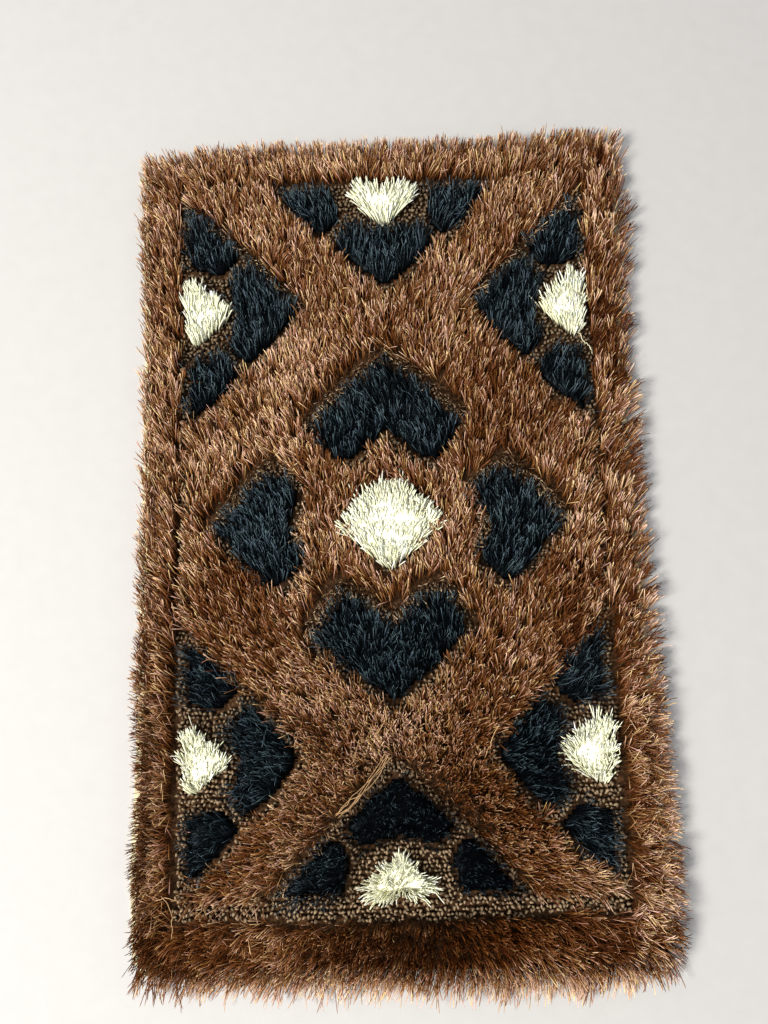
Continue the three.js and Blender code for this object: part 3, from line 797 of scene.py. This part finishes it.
def ranged(tree, source, low, high, to_low, to_high):
    """A number from source, taken from one range to another."""
    node = tree.nodes.new("ShaderNodeMapRange")
    node.inputs["From Min"].default_value = low
    node.inputs["From Max"].default_value = high
    node.inputs["To Min"].default_value = to_low
    node.inputs["To Max"].default_value = to_high
    tree.links.new(source, node.inputs["Value"])
    return node.outputs["Result"]


def texture(tree, kind, values):
    """A texture node over the place on the mat, with these values."""
    node = tree.nodes.new(kind)
    for name, value in values.items():
        node.inputs[name].default_value = value
    place = tree.nodes.new("ShaderNodeTexCoord")
    tree.links.new(place.outputs["Object"], node.inputs["Vector"])
    return node


def between(tree, source, first, second):
    """A colour from first to second, as source goes from 0 to 1."""
    node = tree.nodes.new("ShaderNodeValToRGB")
    node.color_ramp.elements[0].color = first
    node.color_ramp.elements[1].color = second
    tree.links.new(source, node.inputs["Fac"])
    return node.outputs["Color"]


def combined(tree, operation, first, second):
    """One number from two."""
    node = tree.nodes.new("ShaderNodeMath")
    node.operation = operation
    tree.links.new(first, node.inputs[0])
    tree.links.new(second, node.inputs[1])
    return node.outputs["Value"]


def bumped(tree, shader, height, distance, strength=1.0, invert=False):
    """Relief of this height on the shader's surface."""
    relief = tree.nodes.new("ShaderNodeBump")
    relief.inputs["Distance"].default_value = distance
    relief.inputs["Strength"].default_value = strength
    relief.invert = invert
    tree.links.new(height, relief.inputs["Height"])
    tree.links.new(relief.outputs["Normal"], shader.inputs["Normal"])


def yarn_material(yarn, roughness, gloss):
    """Shiny cut yarn: its tint comes with the strands, and fine fibres vary its tone, gloss and relief."""
    material, tree, shader = new_material(f"{yarn}_polyester_yarn", roughness)
    tint = tree.nodes.new("ShaderNodeAttribute")
    tint.attribute_name = "yarn_tint"
    fibre = texture(tree, "ShaderNodeTexNoise", {"Scale": 900.0, "Detail": 3.0})
    shade = tree.nodes.new("ShaderNodeVectorMath")
    shade.operation = "SCALE"
    tree.links.new(tint.outputs["Color"], shade.inputs[0])
    tree.links.new(ranged(tree, fibre.outputs["Fac"], 0.3, 0.7, 0.78, 1.18), shade.inputs["Scale"])
    tree.links.new(shade.outputs["Vector"], shader.inputs["Base Color"])
    # The gloss follows the tint's brightness, so it is weak in the painted shade near the roots
    brightness = tree.nodes.new("ShaderNodeRGBToBW")
    tree.links.new(tint.outputs["Color"], brightness.inputs["Color"])
    level = ranged(tree, brightness.outputs["Val"], 0.0, max(YARN[yarn]["body"]) * 1.6, gloss * 0.15, gloss)
    tree.links.new(level, shader.inputs["Specular IOR Level"])
    shader.inputs["Specular Tint"].default_value = (*YARN[yarn]["gloss"], 1.0)
    rough = ranged(tree, fibre.outputs["Fac"], 0.0, 1.0, roughness - 0.12, roughness + 0.12)
    tree.links.new(rough, shader.inputs["Roughness"])
    bumped(tree, shader, fibre.outputs["Fac"], 0.0004, 0.35)
    return material


def cloth_material():
    """Plain-woven cream cloth: two crossed sets of threads."""
    material, tree, shader = new_material("cream_cloth_weave", 0.9)
    shader.inputs["Sheen Weight"].default_value = 0.2
    threads = []
    for direction in ("X", "Y"):
        wave = texture(tree, "ShaderNodeTexWave", {"Scale": 260.0, "Distortion": 1.2})
        wave.bands_direction = direction
        threads.append(wave.outputs["Fac"])
    weave = combined(tree, "MULTIPLY", *threads)
    stain = texture(tree, "ShaderNodeTexNoise", {"Scale": 40.0})
    shade = combined(tree, "ADD", weave, stain.outputs["Fac"])
    colour = between(tree, shade, (0.38, 0.33, 0.19, 1.0), (0.74, 0.68, 0.43, 1.0))
    tree.links.new(colour, shader.inputs["Base Color"])
    bumped(tree, shader, weave, 0.0006)
    return material


def ground_material():
    """The base of the pile, where the tufts come through the cloth, painted dark as shade and darkest between
    the tufts.
    """
    material, tree, shader = new_material("shaded_pile_base", 0.95)
    shader.inputs["Specular IOR Level"].default_value = 0.1
    tufts = texture(tree, "ShaderNodeTexVoronoi", {"Scale": 330.0})
    # Painted shade: lighter at the middle of each tuft, darkest between them
    colour = between(tree, tufts.outputs["Distance"], (0.085, 0.042, 0.018, 1.0), (0.012, 0.005, 0.002, 1.0))
    tree.links.new(colour, shader.inputs["Base Color"])
    bumped(tree, shader, tufts.outputs["Distance"], 0.001, invert=True)
    return material


# Brown shag, on the panel and round it


def fringe_roots():
    """Roots of the extra strands that hang over the cloth's near edge."""
    roots, luck = candidates(102, FRINGE_PITCH)
    distance, outward = edge_of_cloth(roots)
    some = (distance < FRINGE_EXTRA) & (outward[:, 1] < -0.9)
    return roots[some], luck[some]


def notch_roots():
    """Roots in the notches of the two hearts beside the middle."""
    roots, luck = candidates(103, SHAG["field"]["pitch"])
    inside = np.zeros(len(roots), bool)
    for name in ("black_heart_left", "black_heart_right"):
        inside |= between_lobes(roots, PATCH_NAMES.index(name))
    return roots[inside], luck[inside]


def notch_fan(roots, length, rng):
    """Short strands that lean towards the middle of the mat."""
    azimuth = np.where(roots[:, 0] < 0.0, 0.0, math.pi) + rng.normal(0.0, 0.7, len(roots))
    lean = np.radians(rng.uniform(12.0, 48.0, len(roots)))
    return azimuth, lean, length * rng.uniform(0.55, 0.85, len(roots))


def build_brown_shag(material):
    """The brown shag in six pieces: two halves of the panel and the four sides of the border."""
    roots, luck, _ = roots_of(101, "field", lambda zone: zone == BROWN)
    x, y = roots[:, 0], roots[:, 1]
    panel = panel_sides()
    beside = (y > panel["near"]) & (y < panel["far"])
    on_panel = beside & (x > panel["left"]) & (x < panel["right"])
    middle_x = (panel["left"] + panel["right"]) / 2.0
    middle_y = (panel["near"] + panel["far"]) / 2.0
    strips = {
        "field_pile_far": ("field", on_panel & (y > middle_y)),
        "field_pile_near": ("field", on_panel & (y <= middle_y)),
        "border_pile_near": ("border", y <= panel["near"]),
        "border_pile_far": ("border", y >= panel["far"]),
        "border_pile_left": ("border", beside & ~on_panel & (x < middle_x)),
        "border_pile_right": ("border", beside & ~on_panel & (x >= middle_x)),
    }
    for number, (name, (kind, some)) in enumerate(strips.items()):
        part = grow(200 + 10 * number, "brown", kind, roots[some], luck[some])
        if name == "field_pile_far":
            notch, notch_luck = notch_roots()
            part = joined([part, grow(280, "brown", "field", notch, notch_luck, notch_fan)])
        if name == "border_pile_near":
            fringe, fringe_luck = fringe_roots()
            part = joined([part, grow(290, "brown", "border", fringe, fringe_luck)])
        piece = mesh_piece(name, part, material)
        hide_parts("brown_pile")


# Black and ivory patches

# Each ivory patch spreads like a brush from a foot at its near end: how far the foot is from the middle and
# how high above the near end, as shares of half the patch, how much the strands spread to the left and to the
# right, the share of their reach that must still stand over the patch, the same share for the ones that run
# straight ahead, and how far the ones at the foot lean from upright.
USUAL_BRUSH = {"rise": -0.12, "foot_lean": 42.0}
IVORY_BRUSH = {
    "ivory_diamond": {"foot": 0.05, "left": 0.85, "right": 0.85, "over": 0.45},
    "ivory_half_diamond_far": {"foot": 0.05, "left": 1.20, "right": 1.20, "over": 0.78},
    "ivory_half_diamond_near": {
        "foot": 0.00, "left": 1.35, "right": 1.15, "over": 0.44,
        "ahead": 0.80, "rise": 0.16, "foot_lean": 14.0,
    },
    "ivory_half_diamond_left_far": {"foot": -0.20, "left": 0.15, "right": 0.75, "over": 0.66},
    "ivory_half_diamond_left_near": {"foot": -0.05, "left": 0.25, "right": 0.85, "over": 0.74},
    "ivory_half_diamond_right_far": {"foot": 0.38, "left": 0.85, "right": 0.40, "over": 0.62},
    "ivory_half_diamond_right_near": {"foot": 0.42, "left": 0.85, "right": 0.40, "over": 0.56},
}
BRUSH_MIDDLE_LEAN = 58.0


def brush_of(name):
    """How an ivory patch spreads, with the usual values where it has none of its own."""
    look = IVORY_BRUSH[name]
    return {"ahead": look["over"], **USUAL_BRUSH, **look}


def from_foot(roots, name):
    """Direction of each strand of an ivory patch, and its distance from the foot in halves of the patch."""
    low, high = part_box(name)
    look = brush_of(name)
    half_width = (high.x - low.x) / 2.0
    reach = (high.y - low.y) / 2.0
    foot = np.array([(low.x + high.x) / 2.0 + look["foot"] * half_width, low.y + look["rise"] * reach])
    away = (roots - foot) / reach
    spread = np.where(away[:, 0] < 0.0, look["left"], look["right"])
    return np.arctan2(away[:, 1], away[:, 0] * spread), np.linalg.norm(away, axis=1)


def ivory_fan(name):
    """Spreads an ivory patch's strands like a brush, from its near end towards its far side."""
    foot_lean = brush_of(name)["foot_lean"]

    def fan(roots, length, rng):
        azimuth, far = from_foot(roots, name)
        edge = smooth(far / 1.6)
        azimuth = azimuth + np.radians(rng.normal(0.0, 6.0, len(roots)) * (0.5 + 1.6 * edge))
        lean = np.radians(mix(foot_lean, 64.0, edge**0.7) + rng.normal(0.0, 5.0, len(roots)))
        return azimuth, lean, length * mix(0.82, 1.08, edge)

    return fan


def ends_inside(roots, name):
    """Whether each strand of an ivory patch ends near enough to the patch."""
    look = brush_of(name)
    azimuth, _ = from_foot(roots, name)
    over = mix(look["over"], look["ahead"], np.clip(np.sin(azimuth), 0.0, 1.0) ** 6)[:, None]
    reach = SHAG["ivory"]["length"] * over * math.sin(math.radians(BRUSH_MIDDLE_LEAN))
    return zone_at(roots + heading(azimuth) * reach + ragged(roots, 0.0016)) == PATCH_NAMES.index(name)


def mound(name, yarn):
    """A closed mound between a patch's roots, lower towards its near end, in the yarn colour that MOUND names:
    painted depth shade for black, body for ivory.
    """
    look = MOUND[yarn]
    low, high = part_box(name)
    xs = np.arange(low.x, high.x + look["pitch"], look["pitch"])
    ys = np.arange(low.y, high.y + look["pitch"], look["pitch"])
    grid_x, grid_y = np.meshgrid(xs, ys, indexing="ij")
    flat = np.stack([grid_x.ravel(), grid_y.ravel()], 1)
    own = np.ones(len(flat), bool)
    top = np.full(len(flat), look["rim"])
    for ring in range(MOUND_RINGS):
        for angle in np.arange(0.0, 2.0 * math.pi, math.pi / 4.0):
            around = (MOUND_MARGIN + MOUND_RING_WIDTH * ring) * np.array([math.cos(angle), math.sin(angle)])
            own &= zone_at(flat + around) == PATCH_NAMES.index(name)
        if ring == 0:
            inside = own.reshape(grid_x.shape).copy()
        else:
            top += look["step_up"] * own
    rise = smooth((flat[:, 1] - low.y) / (0.5 * (high.y - low.y)))
    top = ROOT_HEIGHT + (top - ROOT_HEIGHT) * mix(0.60, 1.0, rise)
    points, faces = closed_cells(flat, top, ROOT_HEIGHT, inside)
    return {
        "points": points,
        "faces": faces,
        "tint": np.tile(np.array(YARN[yarn][look["colour"]]), (len(points), 1)),
        "cell": np.arange(len(faces)),
        "spot": np.tile(np.array([(0.0, 0.0), (1.0, 0.0), (0.0, 1.0)]), (len(faces), 1, 1)),
    }


def build_black_patches(material):
    roots, luck, zone = roots_of(301, "black", lambda zone: zone >= 0)
    for number, name in enumerate(PATCH_NAMES):
        if name.startswith("black"):
            some = zone == number
            strands = grow(301 + 10 * number, "black", "black", roots[some], luck[some])
            part = joined([strands, mound(name, "black")])
            piece = mesh_piece(f"{name}_shag", part, material)
            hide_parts(name)


def build_ivory_patches(material):
    roots, luck = candidates(302, SHAG["ivory"]["pitch"])
    zone = zone_at(roots)
    for number, name in enumerate(IVORY_BRUSH):
        some = zone == PATCH_NAMES.index(name)
        some[some] = ends_inside(roots[some], name)
        strands = grow(302 + 10 * number, "ivory", "ivory", roots[some], luck[some], ivory_fan(name))
        part = joined([strands, mound(name, "ivory")])
        piece = mesh_piece(f"{name}_shag", part, material)
        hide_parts(name)


# Loops, cloth, base and stray yarns


def build_loops(material):
    """Low loops of brown yarn in rows on the open ground between the patches."""
    rng = np.random.default_rng(51)
    cells = staggered_cells(LOOP["pitch"])
    places = OUTLINE.min(0) + (cells + rng.normal(0.0, 0.20, cells.shape)) * LOOP["pitch"]
    panel = panel_sides()
    past, rim = LOOP["past"], LOOP["rim"]
    shifts = [(0.0, 0.0), (past, 0.0), (-past, 0.0), (0.0, past), (0.0, -past)]
    near = np.array([zone_at(places + np.array(shift)) == CHANNEL for shift in shifts]).any(0)
    near &= (places[:, 0] > panel["left"] - rim) & (places[:, 0] < panel["right"] + rim)
    near &= (places[:, 1] > panel["near"] - rim) & (places[:, 1] < panel["far"] + rim)
    places = places[near & (zone_at(places) != BROWN)]
    count = len(places)
    turn = rng.uniform(0.0, math.pi, count)
    along = np.column_stack([heading(turn), np.zeros(count)])
    sideways = np.column_stack([heading(turn + math.pi / 2.0), np.zeros(count)])
    up = np.array([0.0, 0.0, 1.0])
    size = rng.uniform(0.75, 1.22, count)[:, None]
    centres, above = [], []
    for share, _ in LOOP_STRAND:
        angle = math.pi * share
        out = -math.cos(angle) * LOOP["span"] / 2.0
        rise = math.sin(angle) ** 0.7 * LOOP["height"]
        base = np.column_stack([places, np.full(count, ROOT_HEIGHT)])
        centres.append(base + size * (along * out + up * rise))
        above.append(-along * math.cos(angle) + up * math.sin(angle))
    tone = rng.uniform(0.60, 1.15, count) * mix(0.92, 0.60, smooth((places[:, 1] + 0.24) / 0.14))
    # Painted shade: each loop is darker at its two feet, where it goes into the base
    shade = mix(0.35, 1.0, np.sin(math.pi * strand_template(LOOP_STRAND)[2]))[None, :, None]
    tint = LOOP_COLOUR * tone[:, None, None] * shade
    width = LOOP["width"] * size[:, 0]
    roll = np.full(count, math.pi / 2.0)
    part = swept_part(LOOP_STRAND, centres, [sideways] * len(LOOP_STRAND), above, width, roll, tint)
    piece = mesh_piece("ground_loops", part, material)
    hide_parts("brown_pile")


def closed_layer(columns, rows, inset, low, height_at):
    """A thin closed layer as large as the cloth less an inset, with its own top height."""
    outline_low, outline_high = OUTLINE.min(0), OUTLINE.max(0)
    shares_x, shares_y = np.meshgrid(np.linspace(0, 1, columns), np.linspace(0, 1, rows), indexing="ij")
    flat = outline_low + np.stack([shares_x.ravel(), shares_y.ravel()], 1) * (outline_high - outline_low)
    distance, outward = edge_of_cloth(flat)
    flat = flat + outward * np.minimum(distance, 0.0)[:, None]
    centre = (outline_low + outline_high) / 2.0
    half = (outline_high - outline_low) / 2.0
    across, lowness = from_left(flat)
    flat[:, 0] += CLOTH_LEFT * lowness * (1.0 - smooth(across / 0.1))
    flat = centre + (flat - centre) * (half - inset) / half
    points, faces = closed_cells(flat, height_at(flat), low, np.ones((columns, rows), bool))
    return {"points": points, "faces": faces}


def build_cloth(material):
    """The backing cloth, which lies flat on the floor."""
    part = closed_layer(36, 60, 0.0, 0.0, lambda flat: CLOTH_TOP + 0.0002 * drift(61, flat, 0.012))
    cloth = mesh_piece("cloth_sheet", part, material)
    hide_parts("backing_cloth")


def build_ground(material):
    """The base between the roots, painted dark as shade."""
    low = CLOTH_TOP + 0.0003
    part = closed_layer(40, 66, BASE_INSET, low, lambda flat: GROUND_TOP + 0.0004 * drift(62, flat, 0.006))
    piece = mesh_piece("shaded_pile_base", part, material)
    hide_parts("brown_pile")


# Loose yarns that lie on the pile: the places that each passes. The ridge is a bundle of several yarns.
RIDGE = [(-0.060, -0.250, 0.022), (-0.045, -0.236, 0.026), (-0.026, -0.217, 0.026), (-0.008, -0.194, 0.024)]
RIDGE_SPREAD = np.array([0.0024, 0.0024, 0.0012])
RIDGE_YARNS = 5
BROWN_STRAYS = [
    [(-0.050, -0.202, 0.024), (-0.044, -0.203, 0.026), (-0.040, -0.194, 0.026), (-0.037, -0.181, 0.025)],
    [(-0.027, -0.143, 0.024), (-0.0265, -0.152, 0.026), (-0.024, -0.160, 0.025)],
    [(-0.012, -0.153, 0.024), (-0.013, -0.165, 0.026), (-0.018, -0.174, 0.026), (-0.024, -0.180, 0.024)],
    [(0.090, -0.174, 0.024), (0.083, -0.183, 0.026), (0.080, -0.195, 0.025)],
    [(-0.215, -0.310, 0.024), (-0.206, -0.320, 0.027), (-0.203, -0.335, 0.026), (-0.205, -0.348, 0.024)],
    [(-0.220, -0.315, 0.024), (-0.208, -0.312, 0.027), (-0.196, -0.316, 0.025)],
]
IVORY_STRAYS = [
    [(0.187, 0.199, 0.016), (0.190, 0.189, 0.017), (0.196, 0.183, 0.017), (0.199, 0.174, 0.016)],
    [(0.198, -0.196, 0.020), (0.196, -0.206, 0.018), (0.190, -0.215, 0.018), (0.185, -0.226, 0.017)],
    [(0.101, -0.150, 0.023), (0.103, -0.148, 0.024), (0.105, -0.149, 0.023)],
]


def stray_part(route, width, colour, rng):
    """One long loose yarn along a smooth line through its places."""
    places = np.array(route)
    ends = np.vstack([2 * places[0] - places[1], places, 2 * places[-1] - places[-2]])
    steps = 5
    line = []
    for k in range(len(places) - 1):
        before, a, b, after = ends[k : k + 4]
        for t in np.arange(steps) / steps:
            line.append(0.5 * (
                2 * a + (b - before) * t + (2 * before - 5 * a + 4 * b - after) * t**2
                + (3 * a - before - 3 * b + after) * t**3
            ))
    line = np.array(line + [places[-1]])
    line[1:-1] += rng.normal(0.0, 0.0005, line[1:-1].shape)
    ahead = np.gradient(line, axis=0)
    ahead /= np.linalg.norm(ahead, axis=1)[:, None]
    sideways = np.cross(ahead, (0.0, 0.0, 1.0))
    sideways /= np.linalg.norm(sideways, axis=1)[:, None]
    above = np.cross(sideways, ahead)
    shares = np.linspace(0.0, 1.0, len(line))
    rings = [(share, 0.0 if share in (0.0, 1.0) else 1.0) for share in shares]
    tint = np.tile(colour * rng.uniform(0.8, 1.15), (1, len(strand_template(rings)[2]), 1))
    lines = [[row[None] for row in rows] for rows in (line, sideways, above)]
    return swept_part(rings, *lines, np.array([width]), np.zeros(1), tint)


def build_strays(brown, ivory):
    rng = np.random.default_rng(71)
    ridge = []
    for _ in range(RIDGE_YARNS):
        ridge.append(np.array(RIDGE) + rng.normal(0.0, 1.0, (len(RIDGE), 3)) * RIDGE_SPREAD)
    for name, routes, width, colour, material, node in (
        ("brown_stray_yarns", BROWN_STRAYS + ridge, 0.0008, STRAY_COLOUR, brown, "brown_pile"),
        ("ivory_stray_yarns", IVORY_STRAYS, 0.0007, np.array(YARN["ivory"]["depth_shade"]), ivory, "brown_pile"),
    ):
        part = joined([stray_part(route, width, colour, rng) for route in routes])
        piece = mesh_piece(name, part, material)
        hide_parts(node)


# Camera, light and floor


def build_camera():
    data = bpy.data.cameras.new("camera")
    data.lens = LENS_MM
    data.sensor_width = SENSOR_MM
    data.clip_start = 0.01
    camera = new_object("camera", data)
    camera.location = CAMERA_PLACE
    camera.rotation_euler = Matrix.Rotation(CAMERA_TURN.length, 3, CAMERA_TURN.normalized()).to_euler()
    bpy.context.scene.camera = camera


def area_light(name, place, size, power, colour):
    """A round lamp that shines on the middle of the mat."""
    data = bpy.data.lights.new(name, "AREA")
    data.shape = "DISK"
    data.size = size
    data.energy = power
    data.color = colour
    light = new_object(name, data)
    light.location = place
    aim = Vector((0.0, 0.0, 0.0)) - Vector(place)
    light.rotation_euler = aim.to_track_quat("-Z", "Y").to_euler()


def build_light():
    world = bpy.data.worlds.new("studio")
    world.use_nodes = True
    background = world.node_tree.nodes["Background"]
    background.inputs["Color"].default_value = SKY_COLOUR
    background.inputs["Strength"].default_value = SKY_STRENGTH
    bpy.context.scene.world = world
    area_light("window", place=(-2.05, -0.85, 2.65), size=1.1, power=225.0, colour=(1.0, 0.97, 0.92))


def build_floor():
    material, tree, shader = new_material("pale_floor", 0.85)
    grain = texture(tree, "ShaderNodeTexNoise", {"Scale": 60.0})
    colour = between(tree, grain.outputs["Fac"], (0.40, 0.39, 0.38, 1.0), (0.43, 0.42, 0.41, 1.0))
    tree.links.new(colour, shader.inputs["Base Color"])
    mesh = bpy.data.meshes.new("floor")
    corners = [(-3.0, -3.0, 0.0), (3.0, -3.0, 0.0), (3.0, 3.0, 0.0), (-3.0, 3.0, 0.0)]
    mesh.from_pydata(corners, [], [(0, 1, 2, 3)])
    mesh.materials.append(material)
    floor = new_object("floor", mesh)


def build_mat():
    brown = yarn_material("brown", 0.42, 0.50)
    black = yarn_material("black", 0.38, 0.40)
    ivory = yarn_material("ivory", 0.50, 0.30)
    build_cloth(cloth_material())
    build_ground(ground_material())
    build_loops(brown)
    build_brown_shag(brown)
    build_black_patches(black)
    build_ivory_patches(ivory)
    build_strays(brown, ivory)


build_camera()
build_light()
build_floor()
build_mat()
bpy.context.scene.view_settings.view_transform = "Standard"
